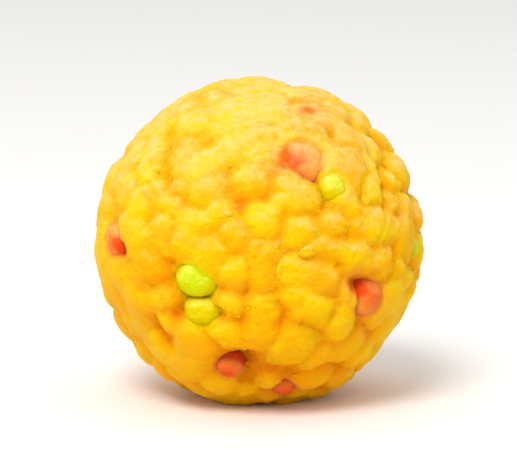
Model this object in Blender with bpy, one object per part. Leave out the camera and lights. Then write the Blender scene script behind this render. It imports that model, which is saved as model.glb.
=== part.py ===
"""Boondi ladoo: a hand-pressed ball of fried gram-flour pearls bound with sugar syrup.

One solid, in metres, +Z up. The origin is the middle of the ball's footprint, on the surface
that it rests on, and the ball's front faces -Y. Its outline is the outer layer of pearls, pressed
to a slightly uneven round by the palms and settled on a small flat spot.
"""

import math

import bmesh
import bpy
import numpy as np

MM = 0.001

# The ball.
BALL_RADIUS = 25.0 * MM
REST_SPOT_RADIUS = 8.0 * MM
REST_SPOT_ANGLE = math.asin(REST_SPOT_RADIUS / BALL_RADIUS)
CENTRE_HEIGHT = BALL_RADIUS * math.cos(REST_SPOT_ANGLE)
# Each palm flat is the way it faces, as degrees of turn about +Z from -Y and of rise, and its depth.
PALM_FLATS = (
    (-62, -30, 1.3 * MM),
    (-70, 40, 0.9 * MM),
    (64, 42, 0.8 * MM),
    (75, -34, 1.0 * MM),
    (8, 76, 0.7 * MM),
    (12, 2, 0.5 * MM),
    (150, 22, 1.1 * MM),
    (-150, -10, 1.2 * MM),
    (-118, 48, 0.8 * MM),
)
PALM_SHARPNESS = 60  # how sharply the round turns into each flat
# Each swell is where the mass stands proud of that round, or lies under it: way, width and height.
SWELLS = (
    (-6, 12, 16, 0.34 * MM),
    (24, 16, 9, -0.34 * MM),
    (48, -2, 12, 0.34 * MM),
    (34, -16, 8, -0.38 * MM),
    (-16, -14, 8, -0.38 * MM),
    (-40, 0, 12, 0.22 * MM),
    (8, -28, 14, 0.30 * MM),
    (-4, -46, 9, -0.52 * MM),
    (-30, 16, 8, -0.22 * MM),
    (46, 42, 14, 0.30 * MM),
    (14, 42, 8, -0.26 * MM),
    (-52, 34, 16, 0.22 * MM),
    (140, -10, 15, 0.38 * MM),
    (110, 20, 12, -0.38 * MM),
    (-170, 14, 14, 0.38 * MM),
    (-132, 30, 11, -0.38 * MM),
    (-110, -22, 14, 0.30 * MM),
    (170, 48, 15, -0.30 * MM),
    (-100, 10, 10, -0.30 * MM),
)

# The pearls that show, each the way it lies from the ball's middle, in degrees, and its radius.
DYED_PEARLS = (
    (-23, -5, 3.3 * MM),
    (-22, -17, 2.7 * MM),
    (31, 28, 2.2 * MM),
    (21, 39, 4.3 * MM),
    (-62, 5, 3.1 * MM),
    (44, -14, 3.1 * MM),
    (-14, -43, 2.1 * MM),
    (17, -56, 1.9 * MM),
    (74, 1, 1.2 * MM),
    (118, -24, 2.8 * MM),
    (142, 34, 2.4 * MM),
    (172, -6, 3.0 * MM),
    (-164, 44, 2.3 * MM),
    (-128, 12, 2.9 * MM),
    (-96, -32, 2.2 * MM),
    (-120, 50, 2.7 * MM),
)
LARGE_PEARLS = (
    (43, 61, 3.4 * MM),
    (12, 33, 2.2 * MM),
    (49, -2, 3.4 * MM),
    (13, 25, 3.2 * MM),
    (22, 5, 2.9 * MM),
    (24, -7, 2.6 * MM),
    (48, 44, 3.8 * MM),
    (49, 23, 3.3 * MM),
    (2, 17, 3.0 * MM),
    (-10, 12, 2.4 * MM),
    (-34, 18, 2.0 * MM),
    (-41, -1, 3.2 * MM),
    (-52, 33, 3.6 * MM),
    (-18, 27, 3.1 * MM),
    (0, -13, 3.2 * MM),
    (-9, 0, 2.7 * MM),
    (12, -31, 3.8 * MM),
    (-28, -30, 3.1 * MM),
    (42, -34, 3.3 * MM),
    (70, 16, 2.9 * MM),
)
# Gaps among them, where no pearl was pressed in, as direction and radius.
GAPS = (
    (-14, -17, 1.2 * MM),
    (-12, -8, 0.9 * MM),
    (22, 17, 0.9 * MM),
    (-6, -50, 1.6 * MM),
    (-31, -18, 1.3 * MM),
    (1, -37, 0.9 * MM),
    (9, 33, 0.9 * MM),
    (36, -8, 1.3 * MM),
    (-55, 3, 1.1 * MM),
    (-152, 28, 1.2 * MM),
    (126, 6, 1.3 * MM),
    (-116, -12, 1.1 * MM),
    (162, -38, 1.4 * MM),
)
SMALL_PEARLS = 200
SMALL_RADIUS_LEAST = 1.5 * MM
SMALL_RADIUS_MOST = 3.9 * MM
SIZE_SPREAD = 0.9  # the small pearls' sizes: 1 is even, and less has more of the least and the largest
SEED = 41
JITTER = 0.09  # how far the small pearls stray from an even spread, in radians
RELAXING_STEPS = 40
RELAXING_PUSH = 0.35  # how far crowded pearls part in one step, over how much they crowd
PACKING = 0.84  # neighbours' distance over the sum of their radii, pressed together
SINK = 0.98  # how deep a pearl's middle lies under the palm surface, over its radius
SINK_SPREAD = 0.16
PROUD_LEAST = -0.12 * MM  # how far past the palm surface a pearl's top may stand
PROUD_MOST = 0.26 * MM
DYED_ROOM = 1.12  # how much more room the dyed pearls keep than their size
DYED_HOLLOW = 0.18 * MM  # how far the mass lies back round each of them
DYED_HOLLOW_RIM = 0.8 * MM
DYED_SINK = 0.84
DYED_PROUD = 0.43 * MM
CRUMB_COVER = 0.2 * MM  # how thick the fused crumb lies over the pearls
CREASE_DEPTH = 0.9 * MM  # the syrup-soaked crumb fills the creases up to here
# Round the rest spot, over its own angle: where the creases are shut, and where they are open.
CREASES_SHUT = 0.9
CREASES_OPEN = 1.5

# The mesh.
ICOSPHERE_LEVEL = 6
TRIANGLES_KEPT = 0.45
TABLE_BLOCK = 4 * BALL_RADIUS

# The finish.
SWEET_COLOUR = (0.95, 0.52, 0.02, 1.0)
SWEET_ROUGHNESS = 0.45


def towards(turn, rise):
    """The unit vector that faces this many degrees round from -Y and up from level."""
    turn, rise = math.radians(turn), math.radians(rise)
    level = math.cos(rise)
    return np.array([level * math.sin(turn), -level * math.cos(turn), math.sin(rise)])


def bell(directions, turn, rise, width):
    """A bell curve over the ball round one way, this many radians wide: 1 there and 0 far from it."""
    return np.exp((directions @ towards(turn, rise) - 1) * 2 / width**2)


def palm_surface(directions):
    """How far the pressed round lies from the ball's middle, along each direction."""
    shrink = np.full(len(directions), BALL_RADIUS**-PALM_SHARPNESS)
    for turn, rise, depth in PALM_FLATS:
        facing = np.clip(directions @ towards(turn, rise), 1e-3, 1.0)
        shrink += ((BALL_RADIUS - depth) / facing) ** -PALM_SHARPNESS
    surface = shrink ** (-1 / PALM_SHARPNESS)
    for turn, rise, width, height in SWELLS:
        surface += height * bell(directions, turn, rise, math.radians(width))
    for turn, rise, radius in DYED_PEARLS:
        surface -= DYED_HOLLOW * bell(directions, turn, rise, (radius + DYED_HOLLOW_RIM) / BALL_RADIUS)
    return surface


def spiral_directions(count):
    """Unit vectors spread evenly over the ball, along a golden spiral."""
    step = np.arange(count) + 0.5
    height = 1 - 2 * step / count
    turn = step * math.pi * (3 - math.sqrt(5))
    level = np.sqrt(1 - height**2)
    return np.stack([level * np.cos(turn), level * np.sin(turn), height], axis=1)


def part_neighbours(directions, radii, free):
    """Moves the free pearls along the ball until neighbours only press together."""
    sunk_radius = BALL_RADIUS - SINK * radii.mean()
    others = 1 - np.eye(len(radii))
    wanted = PACKING * (radii[:, None] + radii[None]) / sunk_radius
    for _ in range(RELAXING_STEPS):
        apart = directions[:, None] - directions[None]
        distance = np.linalg.norm(apart, axis=2) + np.eye(len(radii))
        crowding = np.clip(wanted - distance, 0, None) * others
        push = (apart / distance[..., None] * crowding[..., None]).sum(axis=1)
        directions = directions + RELAXING_PUSH * push * free[:, None]
        directions /= np.linalg.norm(directions, axis=1, keepdims=True)
    return directions


def lay_pearls():
    """The outer pearls: their middles from the ball's, their radii and how proud each may stand."""
    rng = np.random.default_rng(SEED)
    placed = GAPS + DYED_PEARLS + LARGE_PEARLS
    placed_directions = np.array([towards(turn, rise) for turn, rise, _ in placed])
    small_directions = spiral_directions(SMALL_PEARLS) + rng.normal(0, JITTER, (SMALL_PEARLS, 3))
    directions = np.concatenate([placed_directions, small_directions])
    directions /= np.linalg.norm(directions, axis=1, keepdims=True)
    spread = rng.beta(SIZE_SPREAD, SIZE_SPREAD, SMALL_PEARLS)
    small_radii = SMALL_RADIUS_LEAST + (SMALL_RADIUS_MOST - SMALL_RADIUS_LEAST) * spread
    radii = np.concatenate([[radius for _, _, radius in placed], small_radii])
    dyed = slice(len(GAPS), len(GAPS) + len(DYED_PEARLS))
    room = radii.copy()
    room[dyed] *= DYED_ROOM
    directions = part_neighbours(directions, room, np.arange(len(radii)) >= len(placed))
    sink = SINK + rng.uniform(-SINK_SPREAD, SINK_SPREAD, len(radii))
    proud = rng.uniform(PROUD_LEAST, PROUD_MOST, len(radii)) + CRUMB_COVER
    sink[dyed] = DYED_SINK
    proud[dyed] = DYED_PROUD
    middles = directions * (palm_surface(directions) - sink * radii)[:, None]
    filled = slice(len(GAPS), None)
    return middles[filled], radii[filled], proud[filled]


def outline(directions):
    """How far the outermost pearl's skin lies from the ball's middle, along each direction."""
    middles, radii, proud = lay_pearls()
    along = directions @ middles.T
    inside = radii**2 - ((middles**2).sum(axis=1) - along**2)
    skin = np.where(inside > 0, along + np.sqrt(np.clip(inside, 0, None)) + CRUMB_COVER, 0)
    palm = palm_surface(directions)
    pressed = np.minimum(skin, palm[:, None] + proud[None])
    # The creases close where the ball's own weight presses it to its rest spot.
    from_foot = np.arccos(np.clip(-directions[:, 2], -1, 1)) / REST_SPOT_ANGLE
    open_crease = np.clip((from_foot - CREASES_SHUT) / (CREASES_OPEN - CREASES_SHUT), 0, 1)
    return np.maximum(pressed.max(axis=1), palm - CREASE_DEPTH * open_crease)


def material(name, colour, roughness):
    """A plain material of one colour and one roughness."""
    made = bpy.data.materials.new(name)
    made.use_nodes = True
    shader = made.node_tree.nodes["Principled BSDF"]
    shader.inputs["Base Color"].default_value = colour
    shader.inputs["Roughness"].default_value = roughness
    shader.inputs["Metallic"].default_value = 0.0
    return made


def link(name, mesh):
    """An object of this mesh in the scene."""
    made = bpy.data.objects.new(name, mesh)
    bpy.context.scene.collection.objects.link(made)
    return made


def make_ball():
    """The ball of pearls, whole, with its footprint's middle over the origin."""
    shape = bmesh.new()
    bmesh.ops.create_icosphere(shape, subdivisions=ICOSPHERE_LEVEL, radius=1.0)
    directions = np.array([vertex.co.normalized() for vertex in shape.verts])
    points = directions * outline(directions)[:, None]
    middle = (points.min(axis=0) + points.max(axis=0)) / 2
    points -= (middle[0], middle[1], -CENTRE_HEIGHT)
    for vertex, point in zip(shape.verts, points):
        vertex.co = point
    mesh = bpy.data.meshes.new("ladoo")
    shape.to_mesh(mesh)
    shape.free()
    mesh.shade_smooth()
    mesh.materials.append(material("syrup_soaked_boondi", SWEET_COLOUR, SWEET_ROUGHNESS))
    return link("ladoo", mesh)


def make_table_cutter():
    """A block whose top is the surface that the ball rests on."""
    shape = bmesh.new()
    bmesh.ops.create_cube(shape, size=TABLE_BLOCK)
    bmesh.ops.translate(shape, verts=shape.verts, vec=(0, 0, -TABLE_BLOCK / 2))
    mesh = bpy.data.meshes.new("table_cutter")
    shape.to_mesh(mesh)
    shape.free()
    cutter = link("table_cutter", mesh)
    cutter.hide_render = True
    cutter.display_type = "WIRE"
    return cutter


def settle(ball, cutter):
    """Thins the ball's mesh where it is flattest, then presses its underside to a flat spot."""
    thin = ball.modifiers.new("thin", "DECIMATE")
    thin.ratio = TRIANGLES_KEPT
    flatten = ball.modifiers.new("rest_spot", "BOOLEAN")
    flatten.operation = "DIFFERENCE"
    flatten.solver = "EXACT"
    flatten.object = cutter


def main():
    """Makes the one solid, from an empty scene."""
    for old in list(bpy.data.objects):
        bpy.data.objects.remove(old)
    settle(make_ball(), make_table_cutter())


main()
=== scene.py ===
"""Boondi ladoo, the look: fried gram-flour pearls pressed into a ball with syrup-soaked crumb.

Every size is in metres unless its name says otherwise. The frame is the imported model's: the ball's
footprint is centred on the origin, +Z is up and the front faces -Y.
"""

import itertools
import logging
import math
from collections.abc import Sequence
from dataclasses import dataclass, field
from enum import Enum

import bmesh
import bpy
import numpy as np
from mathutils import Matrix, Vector
from mathutils.bvhtree import BVHTree


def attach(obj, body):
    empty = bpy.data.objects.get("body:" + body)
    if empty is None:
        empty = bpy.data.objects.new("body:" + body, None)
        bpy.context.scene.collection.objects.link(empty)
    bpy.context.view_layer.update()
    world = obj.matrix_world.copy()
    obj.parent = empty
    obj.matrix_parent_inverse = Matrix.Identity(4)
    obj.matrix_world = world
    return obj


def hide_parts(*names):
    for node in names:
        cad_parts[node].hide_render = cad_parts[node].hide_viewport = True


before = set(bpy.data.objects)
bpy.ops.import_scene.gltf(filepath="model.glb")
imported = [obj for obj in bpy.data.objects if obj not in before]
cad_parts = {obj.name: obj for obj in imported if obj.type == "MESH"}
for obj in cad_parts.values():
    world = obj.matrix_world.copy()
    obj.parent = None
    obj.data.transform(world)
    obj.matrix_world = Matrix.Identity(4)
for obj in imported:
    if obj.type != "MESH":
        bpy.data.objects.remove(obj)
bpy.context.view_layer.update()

MM = 0.001
BODY = "root"
NODE = "ladoo"
NOISE_CELLS = 24  # how many cells the noise has each way before it repeats
NOISE_START = 5.3  # keeps the cells' sides off the origin
GRAIN_CELLS = 20
GRAIN_EDGE = 0.8  # a grain ends at this squared distance from its middle, over its squared width

Array = np.ndarray
Table = Sequence[tuple[float, ...]]

log = logging.getLogger("ladoo")


class Dye(Enum):
    """What a pearl's batter was coloured with."""

    PLAIN = "plain"
    GREEN = "green"
    RED = "red"


class Wear(Enum):
    """What pressing did to a pearl."""

    WHOLE = "whole"
    LUMPY = "lumpy"
    DENTED = "dented"
    TAILED = "tailed"
    SMEARED = "smeared"
    CRUSHED = "crushed"


# How often a plain pearl gets each wear, and how rough each wear leaves the skin.
WEAR_CHANCES = {Wear.WHOLE: 0.22, Wear.LUMPY: 0.32, Wear.DENTED: 0.06, Wear.TAILED: 0.10, Wear.CRUSHED: 0.30}
WEAR_ROUGHNESS = {Wear.CRUSHED: 2.0, Wear.LUMPY: 1.4, Wear.SMEARED: 1.0}
LEAST_ROUGHNESS = 0.9
# Layers of grains: height and width in millimetres, which grains, and the level left as it is.
LUMPY_GRAINS = ((0.36, 2.4, 16, 0.6),)
WEAR_GRAINS = {
    Wear.CRUSHED: ((0.34, 1.5, 14, 0.6), (0.16, 0.8, 15, 0.5)),
    Wear.LUMPY: LUMPY_GRAINS,
    Wear.SMEARED: LUMPY_GRAINS,
}
CRUMB_GRAINS = ((0.24, 2.3, 24, 0.6), (0.20, 1.2, 28, 0.5))


# Small tools


def linear(code: str) -> tuple[float, float, float, float]:
    """Turns an sRGB hex colour to linear light.

    Args:
        code: The colour, such as "#ffcc20".

    Returns:
        Red, green, blue and an alpha of 1.
    """
    parts = [int(code[i : i + 2], 16) / 255 for i in (1, 3, 5)]
    curve = [p / 12.92 if p <= 0.04045 else ((p + 0.055) / 1.055) ** 2.4 for p in parts]
    return (*curve, 1.0)


def add_node(tree: bpy.types.NodeTree, kind: str, inputs: dict | None = None, **settings) -> bpy.types.Node:
    """Adds a node to a material.

    Args:
        tree: The material's node tree.
        kind: The node's type name.
        inputs: What goes into each input, by its name or number: a value, or an output to link.
        settings: The node's own settings.

    Returns:
        The node.
    """
    node = tree.nodes.new(kind)
    for name, value in settings.items():
        setattr(node, name, value)
    for key, value in (inputs or {}).items():
        if isinstance(value, bpy.types.NodeSocket):
            tree.links.new(value, node.inputs[key])
        else:
            node.inputs[key].default_value = value
    return node


def towards(turn: float, rise: float) -> Array:
    """The unit vector that faces this many degrees round from -Y and up from level."""
    turn, rise = math.radians(turn), math.radians(rise)
    level = math.cos(rise)
    return np.array([level * math.sin(turn), -level * math.cos(turn), math.sin(rise)])


def unit(vectors: Array) -> Array:
    """Vectors of the same directions, each of length 1."""
    return vectors / np.linalg.norm(vectors, axis=-1, keepdims=True)


def in_metres(*rows: tuple, at: int = 2) -> tuple:
    """Turns one size in each row from millimetres to metres.

    Args:
        rows: The rows.
        at: Which place in a row holds the size.

    Returns:
        The new rows.
    """
    return tuple((*row[:at], row[at] * MM, *row[at + 1 :]) for row in rows)


def soft_noise(points: Array, size: float, seed: int) -> Array:
    """Smooth random values from -1 to 1, in lumps about as wide as size.

    Args:
        points: Places, in metres.
        size: The lumps' width, in metres.
        seed: Which noise.

    Returns:
        One value for each place.
    """
    turned = points @ SKEW
    table = np.random.default_rng(seed).uniform(-1, 1, (NOISE_CELLS,) * 3)
    place = turned / size + NOISE_START
    cell = np.floor(place).astype(int)
    part = place - cell
    ease = part * part * (3 - 2 * part)
    total = np.zeros(len(points))
    for corner in itertools.product((0, 1), repeat=3):
        weight = np.prod(np.where(corner, ease, 1 - ease), axis=1)
        total += weight * table[tuple((cell + corner).T % NOISE_CELLS)]
    return total


def grains(points: Array, size: float, seed: int) -> Array:
    """Rounded grains packed side by side: 1 at a grain's middle and about 0 where grains meet.

    Args:
        points: Places, in metres.
        size: The grains' width, in metres.
        seed: Which grains.

    Returns:
        One value for each place.
    """
    table = np.random.default_rng(seed).uniform(0, 1, (*(GRAIN_CELLS,) * 3, 3))
    place = points @ SKEW / size
    cell = np.floor(place).astype(int)
    nearest = np.full(len(points), np.inf)
    for step in itertools.product((-1, 0, 1), repeat=3):
        other = cell + step
        seeds = other + table[tuple(other.T % GRAIN_CELLS)]
        nearest = np.minimum(nearest, ((place - seeds) ** 2).sum(axis=1))
    return 1 - np.clip(nearest / GRAIN_EDGE, 0, 1)


# A turn away from the axes, so that the noise's grid lines up with nothing.
SKEW = np.linalg.qr(np.random.default_rng(5).normal(size=(3, 3)))[0]


def geodesic(frequency: int) -> tuple[Array, Array]:
    """A unit ball of triangles of about one size.

    Args:
        frequency: How many triangles go along each of the twenty sides.

    Returns:
        The corners, and the triangles as numbers of corners.
    """
    shape = bmesh.new()
    bmesh.ops.create_icosphere(shape, subdivisions=1, radius=1.0)
    if frequency > 1:
        bmesh.ops.subdivide_edges(shape, edges=shape.edges, cuts=frequency - 1, use_grid_fill=True)
    shape.verts.index_update()
    corners = unit(np.array([vertex.co[:] for vertex in shape.verts]))
    triangles = np.array([[vertex.index for vertex in face.verts] for face in shape.faces])
    shape.free()
    return corners, triangles


@dataclass
class Heap:
    """Many small closed shapes gathered to be made as one piece."""

    points: list[Array] = field(default_factory=list)
    triangles: list[Array] = field(default_factory=list)
    soak: list[Array] = field(default_factory=list)
    tint: list[Array] = field(default_factory=list)
    stain: list[Array] = field(default_factory=list)
    count: int = 0

    def add(self, points: Array, triangles: Array, **looks: Array) -> None:
        """Adds one shape.

        Args:
            points: Its corners.
            triangles: Its triangles as numbers of corners.
            looks: For each corner, its soak (how full of syrup it is, and how much painted
            shade it has, from 0 to 1), its tint (how far its colour strays, from -1 to 1) and its
            stain (the dye that has run into it, from -1 for green to 1 for red).
        """
        self.triangles.append(triangles + self.count)
        self.points.append(points)
        for name in ("soak", "tint", "stain"):
            getattr(self, name).append(looks[name])
        self.count += len(points)

    def make(self, name: str, finish: bpy.types.Material) -> bpy.types.Object:
        """Args:
            name: The piece's name.
            finish: Its material.

        Returns:
            The piece, riding on the one body.
        """
        mesh = bpy.data.meshes.new(name)
        triangles = np.concatenate(self.triangles)
        mesh.from_pydata(np.concatenate(self.points).tolist(), [], triangles.tolist())
        for key in ("soak", "tint", "stain"):
            values = np.concatenate(getattr(self, key))
            mesh.attributes.new(key, "FLOAT", "POINT").data.foreach_set("value", values)
        mesh.shade_smooth()
        mesh.materials.append(finish)
        piece = bpy.data.objects.new(name, mesh)
        bpy.context.scene.collection.objects.link(piece)
        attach(piece, BODY)
        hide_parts(NODE)
        log.info("%s: %d triangles", name, len(triangles))
        return piece


# Finishes


@dataclass(frozen=True)
class FriedBatter:
    """Gram-flour batter, deep fried and soaked in sugar syrup.

    Light goes a millimetre or two into it, so shade on it turns warm and no edge looks hard. The
    syrup and ghee on its skin give a soft, broad sheen. The frying leaves the skin finely pimpled.
    Its colour also holds painted light: a pale painted highlight on the upward sides, and orange
    painted shade in the creases, on the downward sides and towards the bottom.
    """

    name: str
    pale: str  # colour of the painted highlight on the upward sides, as though lit from above
    dry: str  # colour of the proud tops, where the least syrup stays
    bright: str  # colour of small patches where the syrup is clear and thick
    peachy: str  # colour of broad patches where the skin is rubbed and dull
    soaked: str  # colour in the creases, where the syrup gathers; it is also the painted shade there and underneath
    warm: str  # colour that the odd pearl strays to
    deep: str = "#d07c00"  # colour painted at the bottom of the deepest creases: syrup pooled there, and painted shade
    green_halo: str = "#f2d000"  # where a little dye has run from a green pearl
    green_stain: str = "#dcd600"  # where much has
    red_halo: str = "#ffa034"  # where a little dye has run from a red one
    red_stain: str = "#f8640c"  # where much has
    bleed: tuple[float, float, float] = (1.0, 0.42, 0.08)
    bleed_depth: float = 1.3 * MM
    bleed_share: float = 0.70
    roughness: float = 0.42
    shine: float = 0.04
    ior: float = 1.46  # of sugar syrup
    # how strong the painted highlight on the upward sides is
    top_highlight: float = 0.86
    top_highlight_from: float = 0.15  # the painted highlight starts where the skin faces this far up, and is full at the next
    top_highlight_full: float = 0.85
    top_highlight_patch_size: float = 1.5 * MM  # of the patches that the painted highlight lies in
    underside_shade: float = 0.42  # how much painted shade, in the soaked colour, darkens the downward-facing sides
    bright_size: float = 2.4 * MM
    peachy_size: float = 5.5 * MM
    speck_size: float = 1.1 * MM
    specks: float = 0.38  # how much darker the specks are where the batter browned
    pimple_size: float = 0.50 * MM  # real pimples are about 0.3 mm: drawn coarser so that they show
    pimple_height: float = 0.36 * MM
    grit_size: float = 0.24 * MM
    grit_height: float = 0.15 * MM

    def make(self) -> bpy.types.Material:
        """Makes the material.

        Returns:
            The material, which reads each corner's soak, tint and stain.
        """
        made = bpy.data.materials.new(self.name)
        made.use_nodes = True
        tree = made.node_tree
        tree.nodes.clear()
        place = add_node(tree, "ShaderNodeTexCoord").outputs["Object"]
        soak, tint, stain = (
            add_node(tree, "ShaderNodeAttribute", attribute_name=name).outputs["Fac"]
            for name in ("soak", "tint", "stain")
        )
        # Each noise's width, detail and roughness.
        bright, peachy, browned, highlight_patches, pimples, grit = (
            add_node(
                tree,
                "ShaderNodeTexNoise",
                {"Vector": place, "Scale": 1 / size, "Detail": detail, "Roughness": roughness},
            ).outputs["Fac"]
            for size, detail, roughness in (
                (self.bright_size, 3.0, 0.55),
                (self.peachy_size, 3.0, 0.55),
                (self.speck_size, 4.0, 0.7),
                (self.top_highlight_patch_size, 3.0, 0.6),
                (self.pimple_size, 4.0, 0.62),
                (self.grit_size, 2.0, 0.6),
            )
        )
        facing = add_node(tree, "ShaderNodeNewGeometry").outputs["Normal"]
        # Which way the skin faces: it sets the painted highlight on the upward sides and the painted shade
        # on the downward ones.
        upward = add_node(tree, "ShaderNodeVectorMath", {0: facing, 1: (0, 0, 1)}, operation="DOT_PRODUCT")
        upward = upward.outputs["Value"]
        dyed = add_node(tree, "ShaderNodeMath", {0: stain}, operation="ABSOLUTE").outputs[0]

        # Each layer of colour: what it goes by, where that starts and is full, its share then, its colour.
        skin = linear(self.dry)
        for driver, none, full, most, colour in (
            (bright, 0.45, 0.66, 0.7, self.bright),
            (peachy, 0.45, 0.66, 0.85, self.peachy),
            (browned, 0.52, 0.70, self.specks, self.soaked),
            (tint, 0.0, 1.0, 1.0, self.warm),
            (tint, 0.0, -1.0, 1.0, self.bright),
            # painted shade on the sides that face down
            (upward, 0.15, -0.8, self.underside_shade, self.soaked),
            # syrup in the creases, and painted shade there
            (soak, 0.15, 1.1, 0.95, self.soaked),
            (stain, 0.0, -0.5, 0.85, self.green_halo),
            (stain, -0.5, -1.0, 0.85, self.green_stain),
            (stain, 0.0, 0.5, 0.85, self.red_halo),
            (stain, 0.5, 1.0, 0.85, self.red_stain),
            # painted shade, and pooled syrup, at the bottom of the deepest creases
            (soak, 0.66, 1.0, 0.38, self.deep),
        ):
            share = add_node(tree, "ShaderNodeMapRange", {0: driver, 1: none, 2: full, 3: 0.0, 4: most})
            skin = self._mix(tree, share.outputs[0], skin, linear(colour))
        # The painted highlight lies in patches on the upward sides, and less where the skin is dyed, or
        # soaked and shaded.
        top_highlight = None
        for driver, low, high, first, last in (
            (upward, self.top_highlight_from, self.top_highlight_full, 0.0, self.top_highlight),
            (highlight_patches, 0.36, 0.60, 0.15, 1.0),
            (dyed, 0.45, 0.95, 1.0, 0.15),
            (soak, 0.10, 0.50, 1.0, 0.10),
        ):
            part = add_node(tree, "ShaderNodeMapRange", {0: driver, 1: low, 2: high, 3: first, 4: last})
            part = part.outputs[0]
            if top_highlight:
                part = add_node(tree, "ShaderNodeMath", {0: top_highlight, 1: part}, operation="MULTIPLY").outputs[0]
            top_highlight = part
        skin = self._mix(tree, top_highlight, skin, linear(self.pale))

        bump = None
        for height, tallest in ((pimples, self.pimple_height), (grit, self.grit_height)):
            below = {"Normal": bump} if bump else {}
            bump = add_node(
                tree, "ShaderNodeBump", {"Height": height, "Distance": tallest, "Strength": 1.0, **below}
            ).outputs["Normal"]
        dullest, glossiest = self.roughness + 0.10, self.roughness - 0.08
        gloss = add_node(tree, "ShaderNodeMapRange", {0: pimples, 1: 0.3, 2: 0.7, 3: glossiest, 4: dullest})
        shader = add_node(
            tree,
            "ShaderNodeBsdfPrincipled",
            {
                "Base Color": skin,
                "Roughness": gloss.outputs[0],
                "Normal": bump,
                "IOR": self.ior,
                "Specular IOR Level": self.shine,
                "Subsurface Weight": self.bleed_share,
                "Subsurface Radius": self.bleed,
                "Subsurface Scale": self.bleed_depth,
            },
        )
        add_node(tree, "ShaderNodeOutputMaterial", {"Surface": shader.outputs[0]})
        return made

    @staticmethod
    def _mix(tree: bpy.types.NodeTree, share: object, first: object, second: object) -> bpy.types.NodeSocket:
        """The colour that lies this share of the way from the first to the second."""
        node = add_node(tree, "ShaderNodeMix", {0: share, 6: first, 7: second}, data_type="RGBA")
        return node.outputs[2]


@dataclass(frozen=True)
class PaleSweep:
    """Matt painted board, so pale that it gives only a soft shadow and a little bounce."""

    name: str = "matt_white_board"
    colour: str = "#f2f1ef"
    roughness: float = 0.9
    fibre_size: float = 0.8 * MM
    fibre_height: float = 0.02 * MM

    def make(self) -> bpy.types.Material:
        """Makes the material.

        Returns:
            The material.
        """
        made = bpy.data.materials.new(self.name)
        made.use_nodes = True
        tree = made.node_tree
        shader = tree.nodes["Principled BSDF"]
        place = add_node(tree, "ShaderNodeTexCoord").outputs["Object"]
        fibre = add_node(tree, "ShaderNodeTexNoise", {"Vector": place, "Scale": 1 / self.fibre_size})
        bump = add_node(
            tree, "ShaderNodeBump", {"Height": fibre.outputs["Fac"], "Distance": self.fibre_height}
        )
        tree.links.new(bump.outputs["Normal"], shader.inputs["Normal"])
        shader.inputs["Base Color"].default_value = linear(self.colour)
        shader.inputs["Roughness"].default_value = self.roughness
        return made


PLAIN_BATTER = FriedBatter(
    "syrup_soaked_boondi",
    pale="#ffd27e", dry="#ffc704", bright="#ffd104", peachy="#ffbc26", soaked="#ff9c00", warm="#ffb402",
    bleed_share=0.5,
)
CRUMB_BATTER = FriedBatter(
    "pressed_boondi_crumb",
    pale="#ffd07c", dry="#ffc604", bright="#ffd004", peachy="#ffba26", soaked="#ff9a00", warm="#ffb202",
)
GREEN_BATTER = FriedBatter(
    "green_dyed_boondi",
    pale="#f2f078", dry="#d2e400", bright="#cae200", peachy="#dce21c", soaked="#dcbe00", warm="#ecd400",
    deep="#cc9800", bleed_share=0.35,
    bleed=(0.9, 0.8, 0.08), top_highlight=1.0, top_highlight_from=-0.1, top_highlight_full=0.75, specks=0.3,
)
RED_BATTER = FriedBatter(
    "red_dyed_boondi",
    pale="#ffbe90", dry="#f65e0e", bright="#f2541c", peachy="#ff843c", soaked="#d83600", warm="#ffb454",
    deep="#a02800", bleed_share=0.5, top_highlight=0.60,
)


# The ladoo


@dataclass
class Pearls:
    """The outer pearls, one row each, placed from the ball's middle."""

    directions: Array
    middles: Array
    radii: Array
    proud: Array
    dyes: list[Dye]
    wear: list[Wear]
    tints: list[float]
    runs: Table
    stain_reach: float = 0.60 * MM
    stain_most: float = 0.90  # how strong a stain is beside a pearl that kept its dye
    stain_fade: float = 0.6  # how much weaker it is beside a faded one
    ragged: float = 0.35  # how ragged the rubbed dye's edge is
    ragged_size: float = 1.6 * MM

    def run(self, points: Array) -> Array:
        """Finds the red dye that rubbed off over the mass.

        Args:
            points: Places, from the ball's middle.

        Returns:
            How much there is at each, from 0 to 1.
        """
        total = np.zeros(len(points))
        for turn, rise, width, strength in self.runs:
            angle = np.arccos(np.clip(unit(points) @ towards(turn, rise), -1, 1))
            past = angle * np.linalg.norm(self.middles, axis=1).max() / width
            past += self.ragged * soft_noise(points, self.ragged_size, 41)
            total += strength * np.exp(-(past**2))
        return np.clip(total, 0, 1)

    def stain(self, points: Array) -> Array:
        """Finds the dye that has run over the mass.

        Args:
            points: Places, from the ball's middle.

        Returns:
            The dye at each, from -1 for green to 1 for red.
        """
        total = self.run(points)
        for middle, radius, dye, fade in zip(self.middles, self.radii, self.dyes, self.tints):
            if dye is not Dye.PLAIN:
                past = np.clip(np.linalg.norm(points - middle, axis=1) - radius, 0, None)
                strength = self.stain_most - self.stain_fade * max(fade, 0)
                strength = strength * np.exp(-((past / self.stain_reach) ** 2))
                total += strength if dye is Dye.RED else -strength
        return np.clip(total, -1, 1)


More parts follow.
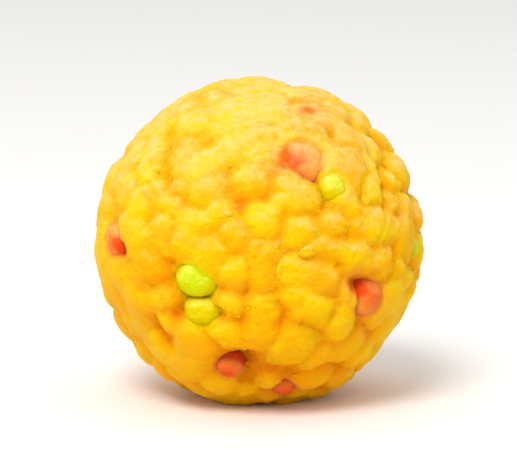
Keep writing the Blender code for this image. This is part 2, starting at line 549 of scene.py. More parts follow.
@dataclass
class PressedBall:
    """The ball that the palms pressed: its pressed round, and where the outer pearls lie in it."""

    radius: float = 25.0 * MM
    rest_spot_radius: float = 8.0 * MM
    # Each palm flat is the way it faces, as degrees of turn from -Y and of rise, and its depth.
    palm_flats: Table = in_metres(
        (-62, -30, 1.3), (-70, 40, 0.9), (64, 42, 0.8), (75, -34, 1.0), (8, 76, 0.7), (12, 2, 0.5),
        (150, 22, 1.1), (-150, -10, 1.2), (-118, 48, 0.8),
    )
    palm_sharpness: int = 60
    # Each swell is where the mass stands proud of that round, or lies under it: way, width and height.
    swells: Table = in_metres(
        (-6, 12, 16, 0.34), (24, 16, 9, -0.34), (48, -2, 12, 0.34), (34, -16, 8, -0.38),
        (-16, -14, 8, -0.38), (-40, 0, 12, 0.22), (8, -28, 14, 0.30), (-4, -46, 9, -0.52),
        (-30, 16, 8, -0.22), (46, 42, 14, 0.30), (14, 42, 8, -0.26), (-52, 34, 16, 0.22),
        (140, -10, 15, 0.38), (110, 20, 12, -0.38), (-170, 14, 14, 0.38), (-132, 30, 11, -0.38),
        (-110, -22, 14, 0.30), (170, 48, 15, -0.30), (-100, 10, 10, -0.30),
        at=3,
    )
    # Each gap that no pearl filled: its way and radius.
    gaps: Table = in_metres(
        (-14, -17, 1.2), (-12, -8, 0.9), (22, 17, 0.9), (-6, -50, 1.6), (-31, -18, 1.3), (1, -37, 0.9),
        (9, 33, 0.9), (36, -8, 1.3), (-55, 3, 1.1), (-152, 28, 1.2), (126, 6, 1.3), (-116, -12, 1.1),
        (162, -38, 1.4),
    )
    # Each dyed pearl's way, radius, dye, wear, and how far its dye has faded, from -1 to 1.
    dyed: Sequence[tuple[float, float, float, Dye, Wear, float]] = in_metres(
        (-23, -5, 3.3, Dye.GREEN, Wear.WHOLE, -0.3), (-22, -17, 2.7, Dye.GREEN, Wear.WHOLE, 0.6),
        (31, 28, 2.2, Dye.GREEN, Wear.WHOLE, 0.4), (21, 39, 4.3, Dye.RED, Wear.SMEARED, 0.72),
        (-62, 5, 3.1, Dye.RED, Wear.WHOLE, 0.5), (44, -14, 3.1, Dye.RED, Wear.WHOLE, 0.2),
        (-14, -43, 2.1, Dye.RED, Wear.WHOLE, 0.0), (17, -56, 1.9, Dye.RED, Wear.WHOLE, -0.3),
        (74, 1, 1.2, Dye.GREEN, Wear.WHOLE, -0.8), (118, -24, 2.8, Dye.GREEN, Wear.LUMPY, 0.3),
        (142, 34, 2.4, Dye.RED, Wear.DENTED, 0.6), (172, -6, 3.0, Dye.GREEN, Wear.DENTED, -0.3),
        (-164, 44, 2.3, Dye.GREEN, Wear.LUMPY, 0.4), (-128, 12, 2.9, Dye.RED, Wear.LUMPY, 0.1),
        (-96, -32, 2.2, Dye.RED, Wear.DENTED, -0.2), (-120, 50, 2.7, Dye.RED, Wear.LUMPY, 0.8),
    )
    # Where red dye rubbed off over the mass: way, width and strength.
    dye_runs: Table = in_metres(
        (11.5, 36.5, 2.3, 1.0), (42, 63, 3.6, 0.6), (32, 57, 1.9, 0.6), (36, -8, 1.8, 0.9),
        (-56, 3, 1.5, 1.0), (-10, 41, 3.0, 0.12), (-160, -20, 3.0, 0.4),
    )
    # Each large plain pearl's way and radius.
    large: Table = in_metres(
        (43, 61, 3.4), (12, 33, 2.2), (49, -2, 3.4), (13, 25, 3.2), (22, 5, 2.9), (24, -7, 2.6),
        (48, 44, 3.8), (49, 23, 3.3), (2, 17, 3.0), (-10, 12, 2.4), (-34, 18, 2.0), (-41, -1, 3.2),
        (-52, 33, 3.6), (-18, 27, 3.1), (0, -13, 3.2), (-9, 0, 2.7), (12, -31, 3.8), (-28, -30, 3.1),
        (42, -34, 3.3), (70, 16, 2.9),
    )
    small_count: int = 200
    small_least: float = 1.5 * MM
    small_most: float = 3.9 * MM
    seed: int = 41
    size_spread: float = 0.9  # the small ones' sizes: 1 is even, less has more of the least and largest
    jitter: float = 0.09  # how far they stray from an even spread, in radians
    relaxing_steps: int = 40
    relaxing_push: float = 0.35  # how far crowded pearls part in one step, over how much they crowd
    packing: float = 0.84
    dyed_room: float = 1.12  # how much more room the dyed pearls keep than their size
    dyed_hollow: float = 0.18 * MM  # how far the mass lies back round each of them
    dyed_rim: float = 0.8 * MM  # how far past each that goes
    dyed_proud: float = 0.25 * MM  # how far each stands out of it
    dyed_sink: float = 0.84
    sink: float = 0.98
    sink_spread: float = 0.16
    proud_least: float = -0.12 * MM
    proud_most: float = 0.26 * MM
    # the depth under the pressed round at which the syrup and the painted shade are full
    soak_depth: float = 1.7 * MM
    bottom_shade: float = 0.24  # how much more painted shade, in the soaked colour, lies towards the bottom

    @property
    def centre_height(self) -> float:
        """How high the ball's middle stands over the surface that it rests on."""
        return math.sqrt(self.radius**2 - self.rest_spot_radius**2)

    def soak(self, points: Array) -> Array:
        """Finds how syrup-soaked the mass is, with the painted shade in its creases and low down.

        Args:
            points: Places, from the ball's middle.

        Returns:
            The soak at each, from 0 to 1.
        """
        far = np.linalg.norm(points, axis=1)
        depth = self.palm_surface(points / far[:, None]) - far
        # painted shade, stronger towards the bottom
        bottom_shading = self.bottom_shade * (1 - points[:, 2] / self.radius) / 2
        return np.clip(depth / self.soak_depth + bottom_shading, 0, 1)

    def palm_surface(self, directions: Array) -> Array:
        """Finds how far the pressed round lies from the ball's middle.

        Args:
            directions: Unit vectors.

        Returns:
            The distance along each.
        """
        shrink = np.full(len(directions), self.radius**-self.palm_sharpness)
        for turn, rise, depth in self.palm_flats:
            facing = np.clip(directions @ towards(turn, rise), 1e-3, 1.0)
            shrink += ((self.radius - depth) / facing) ** -self.palm_sharpness
        surface = shrink ** (-1 / self.palm_sharpness)
        swells = [(turn, rise, math.radians(width), height) for turn, rise, width, height in self.swells]
        for turn, rise, radius, *_ in self.dyed:
            swells.append((turn, rise, (radius + self.dyed_rim) / self.radius, -self.dyed_hollow))
        for turn, rise, width, height in swells:
            facing = directions @ towards(turn, rise)
            surface += height * np.exp((facing - 1) * 2 / width**2)
        return surface

    @staticmethod
    def spiral(count: int) -> Array:
        """Spreads directions evenly over the ball, along a golden spiral.

        Args:
            count: How many.

        Returns:
            Unit vectors.
        """
        step = np.arange(count) + 0.5
        height = 1 - 2 * step / count
        turn = step * math.pi * (3 - math.sqrt(5))
        level = np.sqrt(1 - height**2)
        return np.stack([level * np.cos(turn), level * np.sin(turn), height], axis=1)

    def part_neighbours(self, directions: Array, radii: Array, free: Array) -> Array:
        """Moves the free pearls along the ball until neighbours only press together.

        Args:
            directions: Where each pearl lies.
            radii: Their radii.
            free: Which ones may move.

        Returns:
            The new directions.
        """
        sunk_radius = self.radius - self.sink * radii.mean()
        others = 1 - np.eye(len(radii))
        wanted = self.packing * (radii[:, None] + radii[None]) / sunk_radius
        for _ in range(self.relaxing_steps):
            apart = directions[:, None] - directions[None]
            distance = np.linalg.norm(apart, axis=2) + np.eye(len(radii))
            crowding = np.clip(wanted - distance, 0, None) * others
            push = (apart / distance[..., None] * crowding[..., None]).sum(axis=1)
            directions = unit(directions + self.relaxing_push * push * free[:, None])
        return directions

    def lay_pearls(self) -> Pearls:
        """Lays the outer pearls.

        Returns:
            The pearls: first the dyed ones, then the large ones, then the rest.
        """
        rng = np.random.default_rng(self.seed)
        placed = [*self.gaps, *(row[:3] for row in self.dyed), *self.large]
        placed_directions = np.array([towards(turn, rise) for turn, rise, _ in placed])
        small_directions = self.spiral(self.small_count)
        small_directions = small_directions + rng.normal(0, self.jitter, small_directions.shape)
        directions = unit(np.concatenate([placed_directions, small_directions]))
        spread = rng.beta(self.size_spread, self.size_spread, self.small_count)
        small_radii = self.small_least + (self.small_most - self.small_least) * spread
        radii = np.concatenate([[radius for _, _, radius in placed], small_radii])
        room = radii.copy()
        dyed = slice(len(self.gaps), len(self.gaps) + len(self.dyed))
        room[dyed] *= self.dyed_room
        directions = self.part_neighbours(directions, room, np.arange(len(radii)) >= len(placed))
        sink = self.sink + rng.uniform(-self.sink_spread, self.sink_spread, len(radii))
        proud = rng.uniform(self.proud_least, self.proud_most, len(radii))
        sink[dyed] = self.dyed_sink
        proud[dyed] = self.dyed_hollow + self.dyed_proud
        middles = directions * (self.palm_surface(directions) - sink * radii)[:, None]
        filled = slice(len(self.gaps), None)
        plain = len(radii) - len(self.gaps) - len(self.dyed)
        chances = rng.choice(list(WEAR_CHANCES), plain, p=list(WEAR_CHANCES.values()))
        return Pearls(
            directions[filled],
            middles[filled],
            radii[filled],
            proud[filled],
            [row[3] for row in self.dyed] + [Dye.PLAIN] * plain,
            [row[4] for row in self.dyed] + list(chances),
            [row[5] for row in self.dyed] + list(rng.uniform(-1, 1, plain)),
            self.dye_runs,
        )


@dataclass(frozen=True)
class Kneading:
    """How the mass slid round as the palms rolled it, which leaves few pearls a true round."""

    broad: float = 6.0 * MM
    broad_shift: float = 1.30 * MM
    fine: float = 2.2 * MM
    fine_shift: float = 0.60 * MM
    calm: float = 0.95  # how much less it slides at the pearls that stayed round
    calm_reach: float = 1.5  # over their radius

    def shift(self, points: Array, round_middles: Array, round_radii: Array) -> Array:
        """Where the kneading takes each point, as far from the ball's middle as it was.

        Args:
            points: Places, from the ball's middle.
            round_middles: The middles of the pearls that stayed round.
            round_radii: Their radii.

        Returns:
            The new places.
        """
        ways = []
        for axis in range(3):
            broad = self.broad_shift * soft_noise(points, self.broad, 61 + axis)
            ways.append(broad + self.fine_shift * soft_noise(points, self.fine, 71 + axis))
        share = np.ones(len(points))
        for middle, radius in zip(round_middles, round_radii):
            near = np.linalg.norm(points - middle, axis=1) / (self.calm_reach * radius)
            share *= 1 - self.calm * np.exp(-(near**4))
        moved = points + np.stack(ways, axis=1) * share[:, None]
        return unit(moved) * np.linalg.norm(points, axis=1, keepdims=True)


@dataclass
class PressedPearls:
    """The pearls themselves, each squeezed by its neighbours and by the palms."""

    ball: PressedBall
    pearls: Pearls
    kneading: Kneading
    squeeze: float = 9.0  # how sharply a pearl turns from its round to the flats pressed into it
    press_squeeze: float = 11.0  # the same, for the palms' flats
    join: float = 0.10 * MM  # how far neighbours go into each other, as the syrup fuses them
    firmness: float = 0.40 * MM  # how much less the dyed pearls give way, since they fry harder
    outward: float = 1.35  # crowds each pearl's corners towards the side that shows
    fullness: float = 1.03  # how far its round goes, over its radius, before anything presses it
    stretches: Sequence[float] = (0.90, 1.16)  # how long each of its axes may be
    dyed_stretch: float = 0.3  # how much of that a dyed pearl has
    tail: Sequence[float] = (0.2, 0.4)  # how far a tail stands out, over the radius
    tail_width: float = 0.14
    thinnest: float = 0.15  # how near its middle a neighbour may come, over the radius
    dent_off: Sequence[float] = (0.3, 0.7)  # how far a dent lies off the side that shows
    dent_width: Sequence[float] = (0.38, 0.6)  # in radians
    dent_depth: Sequence[float] = (0.22, 0.36)  # of the radius
    lump_height: float = 0.075  # of the radius
    skin_lump: float = 0.9 * MM
    skin_height: float = 0.10 * MM
    smear_way: Sequence[float] = (1.0, 0.0, -1.0)
    smear_stretch: Sequence[float] = (1.12, 0.93, 0.90)
    streak: float = 0.3  # how much a pearl's colour strays over its skin
    streak_size: float = 2.8 * MM
    rubbed: float = 2.2  # how much colour a dyed pearl has where dye rubbed off round it
    leached: float = 1.7  # how much a dyed pearl's sides fade, where the mass has drawn on its dye
    seed: int = 7

    def shape(self) -> dict[str, tuple[Dye, Heap]]:
        """Shapes the pearls.

        Returns:
            The dye and the gathered pearls of each piece, by the piece's name.
        """
        radii = self.pearls.radii
        # Each piece's dye, least and largest radius, and how fine its pearls are. The plain ones are
        # parted at 3.15 mm, which keeps each piece under 200,000 triangles.
        kinds = {
            "large_pearls": (Dye.PLAIN, 3.15 * MM, 9.0 * MM, 11),
            "middling_pearls": (Dye.PLAIN, 2.30 * MM, 3.15 * MM, 11),
            "small_pearls": (Dye.PLAIN, 0.0, 2.30 * MM, 9),
            "green_pearls": (Dye.GREEN, 0.0, 9.0 * MM, 18),
            "red_pearls": (Dye.RED, 0.0, 9.0 * MM, 18),
        }
        shaped = {}
        for name, (dye, least, most, frequency) in kinds.items():
            ball = geodesic(frequency)
            heap = Heap()
            for i in np.flatnonzero((radii >= least) & (radii < most)):
                if self.pearls.dyes[i] is dye:
                    self.press(int(i), ball, heap)
            shaped[name] = (dye, heap)
        return shaped

    def press(self, i: int, ball: tuple[Array, Array], heap: Heap) -> None:
        """Shapes one pearl.

        Args:
            i: Which pearl.
            ball: The round it starts from.
            heap: Where it goes.
        """
        rng = np.random.default_rng((self.seed, i))
        outward = self.pearls.directions[i]
        middle = self.pearls.middles[i]
        radius = self.pearls.radii[i]
        wear = self.pearls.wear[i]
        rays = self.face(ball[0], outward, rng)

        # The round: longer one way than the other, lumpy, and with a tail if it dripped with one.
        axes = np.linalg.qr(rng.normal(size=(3, 3)))[0]
        stretch = rng.uniform(*self.stretches, 3)
        if wear is Wear.SMEARED:  # a finger pressed it out long
            long_way = unit(self.smear_way - outward * (outward @ self.smear_way))
            axes = np.stack([long_way, np.cross(outward, long_way), outward], axis=1)
            stretch = np.array(self.smear_stretch)
        elif self.pearls.dyes[i] is not Dye.PLAIN:
            stretch = 1 + self.dyed_stretch * (stretch - 1)
        reach = radius * self.fullness / np.linalg.norm((rays @ axes) / stretch, axis=1)
        spot = rays * radius + i * 31 * MM
        reach *= 1 + self.lump_height * soft_noise(spot, 0.9 * radius, 11)
        across = unit(np.cross(outward, rng.normal(size=3)))
        if wear is Wear.TAILED:
            past = (rays @ across - 1) / self.tail_width
            reach *= 1 + rng.uniform(*self.tail) * np.exp(-(past**2))

        # What limits it: its neighbours, the palms and its own round.
        limits = [reach]
        offsets = self.pearls.middles - middle
        distances = np.linalg.norm(offsets, axis=1)
        near = (distances > 0) & (distances < radius + self.pearls.radii)
        dyed = len(self.ball.dyed)
        for j in np.flatnonzero(near):
            plane = (distances[j] ** 2 + radius**2 - self.pearls.radii[j] ** 2) / (2 * distances[j])
            plane += self.join + self.firmness * (int(i < dyed) - int(j < dyed))
            plane = max(plane, self.thinnest * radius)
            limits.append(plane / np.clip(rays @ (offsets[j] / distances[j]), 1e-4, 1))
        palm = self.ball.palm_surface(outward[None])[0] + self.pearls.proud[i]
        along = rays @ middle
        limits.append(np.sqrt(np.clip(along**2 - (middle @ middle - palm**2), 0, None)) - along)
        *round_and_flats, pressed = limits
        reach = (np.array(round_and_flats) ** -self.squeeze).sum(axis=0) ** (-1 / self.squeeze)
        reach = (reach**-self.press_squeeze + pressed**-self.press_squeeze) ** (-1 / self.press_squeeze)

        # What pressing did to its skin.
        if wear is Wear.DENTED:
            spot_way = unit(outward + rng.uniform(*self.dent_off) * across)
            past = np.arccos(np.clip(rays @ spot_way, -1, 1)) / rng.uniform(*self.dent_width)
            reach *= 1 - rng.uniform(*self.dent_depth) * np.exp(-(past**2))
        rough = WEAR_ROUGHNESS.get(wear, LEAST_ROUGHNESS)
        where = middle + rays * reach[:, None]
        reach += rough * self.skin_height * soft_noise(where, self.skin_lump, 12)
        reach += rough * 0.5 * self.skin_height * soft_noise(where, 0.45 * self.skin_lump, 13)
        for height, width, which, level in WEAR_GRAINS.get(wear, ()):
            reach += height * MM * (grains(where, width * MM, which) - level)

        points = middle + rays * reach[:, None]
        points = self.kneading.shift(points, self.pearls.middles[:dyed], self.pearls.radii[:dyed])
        points[:, 2] = np.maximum(points[:, 2], -self.ball.centre_height)
        soak = self.ball.soak(points)
        tint = self.pearls.tints[i] + self.streak * soft_noise(points, self.streak_size, 17)
        if i < dyed:
            tint += self.leached * (1 - rays @ outward) - self.rubbed * self.pearls.run(points)
        plain = self.pearls.dyes[i] is Dye.PLAIN
        stain = self.pearls.stain(points) if plain else np.zeros(len(points))
        points[:, 2] += self.ball.centre_height
        heap.add(points, ball[1], soak=soak, tint=tint, stain=stain)

    def face(self, corners: Array, outward: Array, rng: np.random.Generator) -> Array:
        """Turns a ball's corners to face outward, and crowds them towards that side.

        Args:
            corners: The ball's corners.
            outward: The way that shows.
            rng: What the turn about that way is drawn from.

        Returns:
            The directions of the corners.
        """
        side = unit(np.cross(outward, rng.normal(size=3)))
        basis = np.stack([side, np.cross(outward, side), outward])
        angle = np.arccos(np.clip(corners[:, 2], -1, 1))
        crowded = math.pi * (angle / math.pi) ** self.outward
        level = np.linalg.norm(corners[:, :2], axis=1, keepdims=True)
        flat = corners[:, :2] / np.where(level > 1e-9, level, 1)
        local = np.concatenate([flat * np.sin(crowded)[:, None], np.cos(crowded)[:, None]], axis=1)
        return unit(local @ basis)


@dataclass
class PressedCrumb:
    """The mass under and between the pearls: pearls crushed to crumb and fused with syrup."""

    ball: PressedBall
    pearls: Pearls
    frequency: int = 98
    over: float = 0.38 * MM  # how far it lies over the pearls' softened skin, where it is thickest
    deepest: float = 2.6 * MM
    bare_depth: float = 0.75 * MM  # how far down the dyed pearls' sides it leaves them bare
    dome: float = 0.140  # how far each lump's middle stands over its rim, over the lump's width
    hollow: float = 0.42 * MM  # how deep the gaps go under the rest, where they are wide
    uneven: float = 0.22 * MM  # how much the mass rises and falls, whatever the lumps under it
    gap_clear: float = 1.4  # how far round a gap the syrup leaves it open, over its radius
    gap_narrow: float = 0.8 * MM  # a gap this narrow has no hollow
    gap_step: float = 0.4 * MM  # one this much wider has all of it
    filling_uneven: float = 0.22
    filling_size: float = 6 * MM
    smear_filling: float = 0.75  # how much a smear fills the creases
    crown: float = 0.6  # where on a lump, from 0 at its rim to 1, the dome leaves it as it is
    skin_height: float = 0.13 * MM
    skin_size: float = 0.65 * MM
    under_dyed: float = 0.08 * MM  # how far it lies under the dyed pearls' skin
    rim_soak: float = 0.12  # how much painted shade, in the soaked colour, a lump's rim gets
    steepest: float = 0.82  # slope of the crumb's sides where the creases are open
    shallowest: float = 0.22  # the same, where they are full
    slump_steps: int = 14
    soften_steps: int = 4
    fused: float = 0.12  # how many of the creases the syrup has closed
    fused_steps: int = 10
    split: float = 0.72  # past this draw, a crease has split open
    crevice: float = 0.14 * MM  # how deep the splits are
    crevice_steps: int = 2
    proudest: float = 0.56 * MM  # how far past the pressed round the tops can stand
    smeared: float = 0.34 * MM  # how much less that is where the palms smeared it
    pressed_softness: float = 0.30 * MM
    seed: int = 23
    # Where the palms smeared the crumb over the pearls: turn, rise, width in degrees, and how much.
    smears: Table = (
        (-45, 38, 32, 0.42), (-20, 52, 22, 0.4), (-62, 8, 20, 0.4), (-60, -22, 26, 0.5), (60, -28, 16, 0.4),
        (66, 30, 18, 0.15), (150, 20, 30, 0.6), (-140, -20, 26, 0.5), (-110, 45, 20, 0.5),
        (100, 10, 16, 0.4), (20, 84, 30, 0.7), (60, 66, 20, 0.25), (-90, 10, 26, 0.8), (-88, -30, 22, 0.6),
        (84, -20, 20, 0.5), (0, -52, 28, 0.15),
    )
    directions: Array = field(init=False)
    triangles: Array = field(init=False)
    reach: Array = field(init=False)
    bare: Array = field(init=False)
    depth: Array = field(init=False)
    rim: Array = field(init=False)
    tint: Array = field(init=False)

    def shape(self, plain: Sequence[Heap], dyed: Sequence[Heap]) -> None:
        """Shapes the crumb round the pearls.

        Args:
            plain: The plain pearls, which it may smear over.
            dyed: The dyed pearls, which it leaves bare.
        """
        self.directions, self.triangles = geodesic(self.frequency)
        palm = self.ball.palm_surface(self.directions)
        dyed_skin, _ = self.touch(dyed, palm)
        plain_skin, owners = self.touch(plain, palm)
        skin = np.maximum(plain_skin, dyed_skin)
        ends = np.concatenate([self.triangles[:, pair] for pair in ([0, 1], [1, 2], [2, 0])])

        spots = self.directions * self.ball.radius
        smear = np.zeros(len(spots))
        for turn, rise, width, share in self.smears:
            angle = np.degrees(np.arccos(np.clip(self.directions @ towards(turn, rise), -1, 1)))
            smear += share * np.exp(-((angle / width) ** 2))
        smear = np.clip(smear, 0, 1)
        near, fused = self.find_creases(owners, ends)
        filling = fused + self.filling_uneven * soft_noise(spots, self.filling_size, 21)
        filling = np.clip(filling + self.smear_filling * smear, 0, 1)
        hollow = np.zeros(len(spots))
        for turn, rise, radius in self.ball.gaps:
            angle = np.arccos(np.clip(self.directions @ towards(turn, rise), -1, 1)) * self.ball.radius
            filling *= 1 - np.exp(-((angle / (self.gap_clear * radius)) ** 4))
            ragged = angle / radius + 0.35 * soft_noise(spots, 1.3 * MM, 37)
            wide = np.clip((radius - self.gap_narrow) / self.gap_step, 0, 1)
            hollow = np.maximum(hollow, wide * np.exp(-(np.clip(ragged, 0, None) ** 4)))
        rounded, widths = self.round_lumps(owners)
        # Painted shade on each lump's rim, less where the creases are full.
        self.rim = self.rim_soak * (self.crown - rounded) * (1 - 0.7 * filling)
        tints = np.array([tint.mean() for heap in plain for tint in heap.tint])
        self.tint = self.spread(tints[owners], ends, 2)
        slope = self.steepest - (self.steepest - self.shallowest) * filling
        skin = skin + self.dome * widths * (rounded - self.crown) * (1 - 0.6 * filling)
        skin += self.uneven * (soft_noise(spots, 3.4 * MM, 35) + 0.6 * soft_noise(spots, 1.6 * MM, 36))
        reach = self.spread(self.slump(skin, ends, slope), ends, self.soften_steps)
        reach += self.over * (0.45 + 0.55 * np.clip(filling / 0.4, 0, 1))
        reach -= self.crevice * near * np.clip(0.8 - filling + 0.5 * soft_noise(spots, 3 * MM, 33), 0, 1)
        rough = 0.80 + 0.20 * filling
        for height, width, which, level in CRUMB_GRAINS:
            reach += rough * height * MM * (grains(spots, width * MM, which) - level)
        reach += self.skin_height * soft_noise(spots, self.skin_size, 25) - self.hollow * hollow
        most = palm + self.proudest - self.smeared * smear
        reach = most - self.pressed_softness * np.logaddexp(0, (most - reach) / self.pressed_softness)
        # It lies under the dyed pearls' tops, so that each of them shows.
        ragged = 0.25 * soft_noise(spots, 2.6 * MM, 29) + 0.25 * soft_noise(spots, 1.1 * MM, 30)
        bare_depth = self.bare_depth * (1 + ragged)
        bare = np.clip((dyed_skin - palm + bare_depth) / self.bare_depth, 0, 1)
        bare = self.spread(bare, ends, 1)
        self.bare = bare > 0
        self.depth = palm - reach
        reach += bare * np.minimum(dyed_skin - self.under_dyed - reach, 0)
        self.reach = reach

    def round_lumps(self, owners: Array) -> tuple[Array, Array]:
        """Finds the lump that each corner is on.

        Args:
            owners: Which pearl is outermost at each corner.

        Returns:
            How near the lump's middle the corner lies, 1 there and 0 at a common rim, and how wide
            the lump is.
        """
        sizes = np.maximum(np.bincount(owners), 1)
        middles = np.stack([np.bincount(owners, self.directions[:, axis]) for axis in range(3)], axis=1)
        middles = unit(middles / sizes[:, None] + 1e-9)
        widths = np.sqrt(4 * sizes / len(owners))
        angle = np.linalg.norm(self.directions - middles[owners], axis=1)
        rounded = np.clip(1 - (angle / (1.15 * widths[owners])) ** 2, 0, 1)
        return rounded, 2 * self.ball.radius * widths[owners]

    def find_creases(self, owners: Array, ends: Array) -> tuple[Array, Array]:
        """Finds the creases where two pearls meet, and draws which of them have closed or split.

        Args:
            owners: Which pearl is outermost at each corner.
            ends: The mesh's edges, each one both ways.

        Returns:
            For every corner, how near a split is, from 0 to 1, and how closed its creases are.
        """
        count = owners.max() + 1
        draws = np.random.default_rng(self.seed).uniform(0, 1, (count, count))
        creases = ends[owners[ends[:, 0]] != owners[ends[:, 1]]]
        drawn = np.minimum(draws, draws.T)[owners[creases[:, 0]], owners[creases[:, 1]]]
        near = np.bincount(creases[:, 0], minlength=len(owners)).astype(float)
        fused = np.bincount(creases[:, 0], drawn < self.fused, minlength=len(owners))
        split = np.bincount(creases[:, 0], drawn > self.split, minlength=len(owners))
        thin = self.spread(np.minimum(split, 1), ends, self.crevice_steps)
        near = self.spread(near, ends, self.fused_steps)
        fused = self.spread(fused, ends, self.fused_steps)
        return np.clip(thin / 0.65, 0, 1), fused / (near + 1e-3)

    def touch(self, heaps: Sequence[Heap], palm: Array) -> tuple[Array, Array]:
        """Finds the pearls' outermost skin along each direction.

        Args:
            heaps: The pearls.
            palm: How far the pressed round lies from the ball's middle, along each direction.

        Returns:
            How far the skin lies from the ball's middle, and which pearl it belongs to.
        """
        points, triangles, owners, before = [], [], [], 0
        for heap in heaps:
            points.extend((np.concatenate(heap.points) / MM).tolist())
            triangles.extend((np.concatenate(heap.triangles) + before).tolist())
            for shape in heap.triangles:
                owners.extend([owners[-1] + 1 if owners else 0] * len(shape))
            before += heap.count
        tree = BVHTree.FromPolygons(points, triangles)
        middle = Vector((0, 0, self.ball.centre_height / MM))
        start = 1.3 * self.ball.radius / MM
        skin = palm - self.deepest
        outermost = np.zeros(len(palm), int)
        for i, direction in enumerate(self.directions.tolist()):
            way = Vector(direction)
            hit = tree.ray_cast(middle + way * start, -way, start)
            if hit[0] is not None and (start - hit[3]) * MM > skin[i]:
                skin[i] = (start - hit[3]) * MM
                outermost[i] = owners[hit[2]]
        return skin, outermost

    @staticmethod
    def spread(values: Array, ends: Array, steps: int) -> Array:
        """Evens values out over the mesh.

        Args:
            values: One for each corner.
            ends: The mesh's edges, each one both ways.
            steps: How often each corner takes its neighbours' mean.

        Returns:
            The new values.
        """
        shares = np.bincount(ends[:, 0], minlength=len(values))
        for _ in range(steps):
            around = np.bincount(ends[:, 0], values[ends[:, 1]], minlength=len(values)) / shares
            values = 0.5 * values + 0.5 * around
        return values

    def slump(self, reach: Array, ends: Array, slope: Array) -> Array:
        """Heaps crumb against the pearls, so that no side is steeper than the slope.

        Args:
            reach: How far the skin lies from the ball's middle.
            ends: The mesh's edges, each one both ways.
            slope: The steepest slope at each corner.

        Returns:
            The new reach.
        """
        apart = np.linalg.norm(self.directions[ends[:, 0]] - self.directions[ends[:, 1]], axis=1)
        drop = apart * self.ball.radius * slope[ends[:, 0]]
        for _ in range(self.slump_steps):
            heaped = reach.copy()
            np.maximum.at(heaped, ends[:, 0], reach[ends[:, 1]] - drop)
            reach = heaped
        return reach

    def build(self, finish: bpy.types.Material) -> None:
        """Builds the crumb as one piece.

        Args:
            finish: Its material.
        """
        points = self.directions * self.reach[:, None]
        soak = np.clip(self.ball.soak(points) + self.rim, 0, 1)
        tint = 0.75 * self.tint + 0.6 * soft_noise(points, 3 * MM, 26)
        stain = self.pearls.stain(points)
        points[:, 2] = np.maximum(points[:, 2], -self.ball.centre_height) + self.ball.centre_height
        heap = Heap()
        heap.add(points, self.triangles, soak=soak, tint=tint, stain=stain)
        heap.make("crumb_core", finish)


@dataclass
class LooseCrumbs:
    """Bits of broken pearl caught in the creases."""

    ball: PressedBall
    crumb: PressedCrumb
    count: int = 220
    least: float = 0.15 * MM  # half across
    most: float = 0.42 * MM
    sunk: float = 0.30  # of that
    crease: float = 0.42 * MM  # how deep a crease must be for crumbs to catch in it
    crease_step: float = 0.5 * MM  # one this much deeper catches the most
    sizes: Sequence[float] = (1.2, 2.4)  # how the sizes are spread: more of the small ones
    stretches: Sequence[float] = (0.6, 1.4)
    lumpy: float = 0.45
    proudest: float = 0.35 * MM  # past the pressed round
    tints: Sequence[float] = (-1, 0.3)
    seed: int = 19

    def build(self, finish: bpy.types.Material) -> None:
        """Builds the crumbs as one piece.

        Args:
            finish: Its material.
        """
        rng = np.random.default_rng(self.seed)
        deep = np.clip((self.crumb.depth - self.crease) / self.crease_step, 0, 1)
        likely = deep * (1.0 - self.crumb.bare)
        chosen = rng.choice(len(likely), self.count, replace=False, p=likely / likely.sum())
        corners, triangles = geodesic(4)
        heap = Heap()
        for direction, far in zip(self.crumb.directions[chosen], self.crumb.reach[chosen]):
            size = self.least + (self.most - self.least) * rng.beta(*self.sizes)
            axes = np.linalg.qr(rng.normal(size=(3, 3)))[0]
            stretch = rng.uniform(*self.stretches, 3)
            rays = corners @ axes
            bumps = 1 + self.lumpy * soft_noise(corners * size + rng.uniform(0, 1, 3), 0.8 * size, 31)
            palm = self.ball.palm_surface(direction[None])[0]
            middle = direction * min(far - self.sunk * size, palm + self.proudest - size)
            points = middle + (rays * stretch) @ axes.T * size * bumps[:, None]
            points[:, 2] = np.maximum(points[:, 2], -self.ball.centre_height)
            soak = self.ball.soak(points)
            stain = self.crumb.pearls.stain(points)
            points[:, 2] += self.ball.centre_height
            tint = np.full(len(points), rng.uniform(*self.tints))
            heap.add(points, triangles, soak=soak, tint=tint, stain=stain)
        heap.make("loose_crumbs", finish)


@dataclass
class Ladoo:
    """The whole sweet."""

    ball: PressedBall = field(default_factory=PressedBall)

    def build(self) -> None:
        """Builds every piece of the ladoo."""
        plain = PLAIN_BATTER.make()
        crumb_finish = CRUMB_BATTER.make()
        finishes = {Dye.PLAIN: plain, Dye.GREEN: GREEN_BATTER.make(), Dye.RED: RED_BATTER.make()}
        pearls = self.ball.lay_pearls()
        shaped = PressedPearls(self.ball, pearls, Kneading()).shape()
        crumb = PressedCrumb(self.ball, pearls)
        plain_heaps = [heap for dye, heap in shaped.values() if dye is Dye.PLAIN]
        crumb.shape(plain_heaps, [heap for dye, heap in shaped.values() if dye is not Dye.PLAIN])
        for name, (dye, heap) in shaped.items():
            heap.make(name, finishes[dye])
        crumb.build(crumb_finish)
        LooseCrumbs(self.ball, crumb).build(crumb_finish)


# The studio


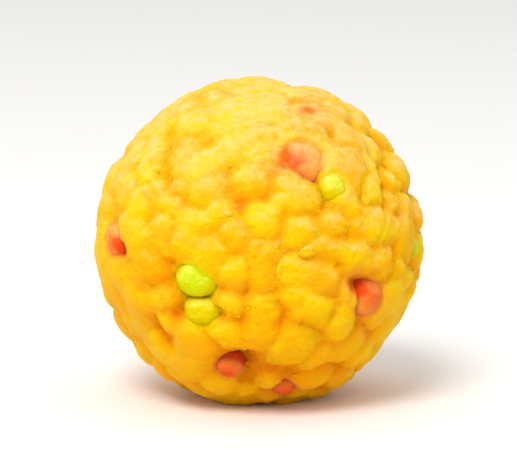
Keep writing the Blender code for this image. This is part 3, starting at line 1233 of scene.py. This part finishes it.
@dataclass
class Studio:
    """A pale sweep, a soft key light, an even surround and the camera."""

    floor_radius: float = 2.5
    wall_height: float = 0.5
    bend: float = 0.4  # radius of the curve up to the rim
    bend_steps: int = 12
    sides: int = 96
    camera_rise: float = 9.0
    camera_distance: float = 0.50
    lens_mm: float = 229.0
    look_height: float = 24.5 * MM
    surround: float = 0.73
    # Each soft box: its place, its width and its power in watts.
    soft_boxes: Sequence[tuple[str, tuple[float, float, float], float, float]] = (
        ("key", (-0.25, -0.68, 0.90), 0.5, 9.1),
        ("top", (-0.10, 0.25, 1.10), 0.9, 1.0),
    )

    def build(self) -> None:
        """Sets up the sweep, the lights and the camera."""
        self.build_sweep()
        self.build_lights()
        self.build_camera()
        bpy.context.scene.view_settings.view_transform = "Standard"

    def build_sweep(self) -> None:
        """A round floor whose rim curves up all round, so that no edge shows."""
        shape = bmesh.new()
        profile = [(0.0, 0.0), (self.floor_radius, 0.0)]
        for step in range(1, self.bend_steps + 1):
            angle = math.radians(90 * step / self.bend_steps)
            out, up = self.bend * math.sin(angle), self.bend * (1 - math.cos(angle))
            profile.append((self.floor_radius + out, up))
        profile.append((self.floor_radius + self.bend, self.bend + self.wall_height))
        verts = [shape.verts.new((x, 0, z)) for x, z in profile]
        edges = [shape.edges.new(pair) for pair in zip(verts, verts[1:])]
        turn = {"cent": (0, 0, 0), "axis": (0, 0, 1), "angle": math.tau, "steps": self.sides}
        bmesh.ops.spin(shape, geom=verts + edges, use_merge=True, **turn)
        bmesh.ops.remove_doubles(shape, verts=shape.verts, dist=1e-5)
        bmesh.ops.recalc_face_normals(shape, faces=shape.faces)
        mesh = bpy.data.meshes.new("sweep")
        shape.to_mesh(mesh)
        shape.free()
        mesh.shade_smooth()
        mesh.materials.append(PaleSweep().make())
        sweep = bpy.data.objects.new("sweep", mesh)
        bpy.context.scene.collection.objects.link(sweep)

    def build_lights(self) -> None:
        """An even white surround, and a large soft key from above, in front and a little to the left."""
        world = bpy.data.worlds.new("surround")
        world.use_nodes = True
        world.node_tree.nodes["Background"].inputs["Color"].default_value = linear("#ffffff")
        world.node_tree.nodes["Background"].inputs["Strength"].default_value = self.surround
        bpy.context.scene.world = world
        for name, place, width, watts in self.soft_boxes:
            lamp = bpy.data.lights.new(name, "AREA")
            lamp.shape = "DISK"
            lamp.size = width
            lamp.energy = watts
            box = bpy.data.objects.new(name, lamp)
            box.location = place
            box.rotation_euler = self.aim(np.array([0, 0, self.look_height]) - np.array(place))
            bpy.context.scene.collection.objects.link(box)

    def build_camera(self) -> None:
        """The camera, a little above the ladoo's middle and square on to its front."""
        data = bpy.data.cameras.new("camera")
        data.lens = self.lens_mm
        data.sensor_width = 36.0
        data.clip_start = 0.01
        data.clip_end = 20.0
        camera = bpy.data.objects.new("camera", data)
        back = towards(0, self.camera_rise) * self.camera_distance
        camera.location = back + np.array([0, 0, self.look_height])
        camera.rotation_euler = self.aim(-back)
        bpy.context.scene.collection.objects.link(camera)
        bpy.context.scene.camera = camera

    @staticmethod
    def aim(way: Array) -> tuple[float, float, float]:
        """The turn that points a lamp or a camera along a way."""
        return tuple(Vector(way).to_track_quat("-Z", "Y").to_euler())


def main() -> None:
    """Builds the ladoo and the studio round it."""
    logging.basicConfig(level=logging.INFO, format="%(name)s: %(message)s")
    Ladoo().build()
    Studio().build()


if __name__ == "__main__":
    main()
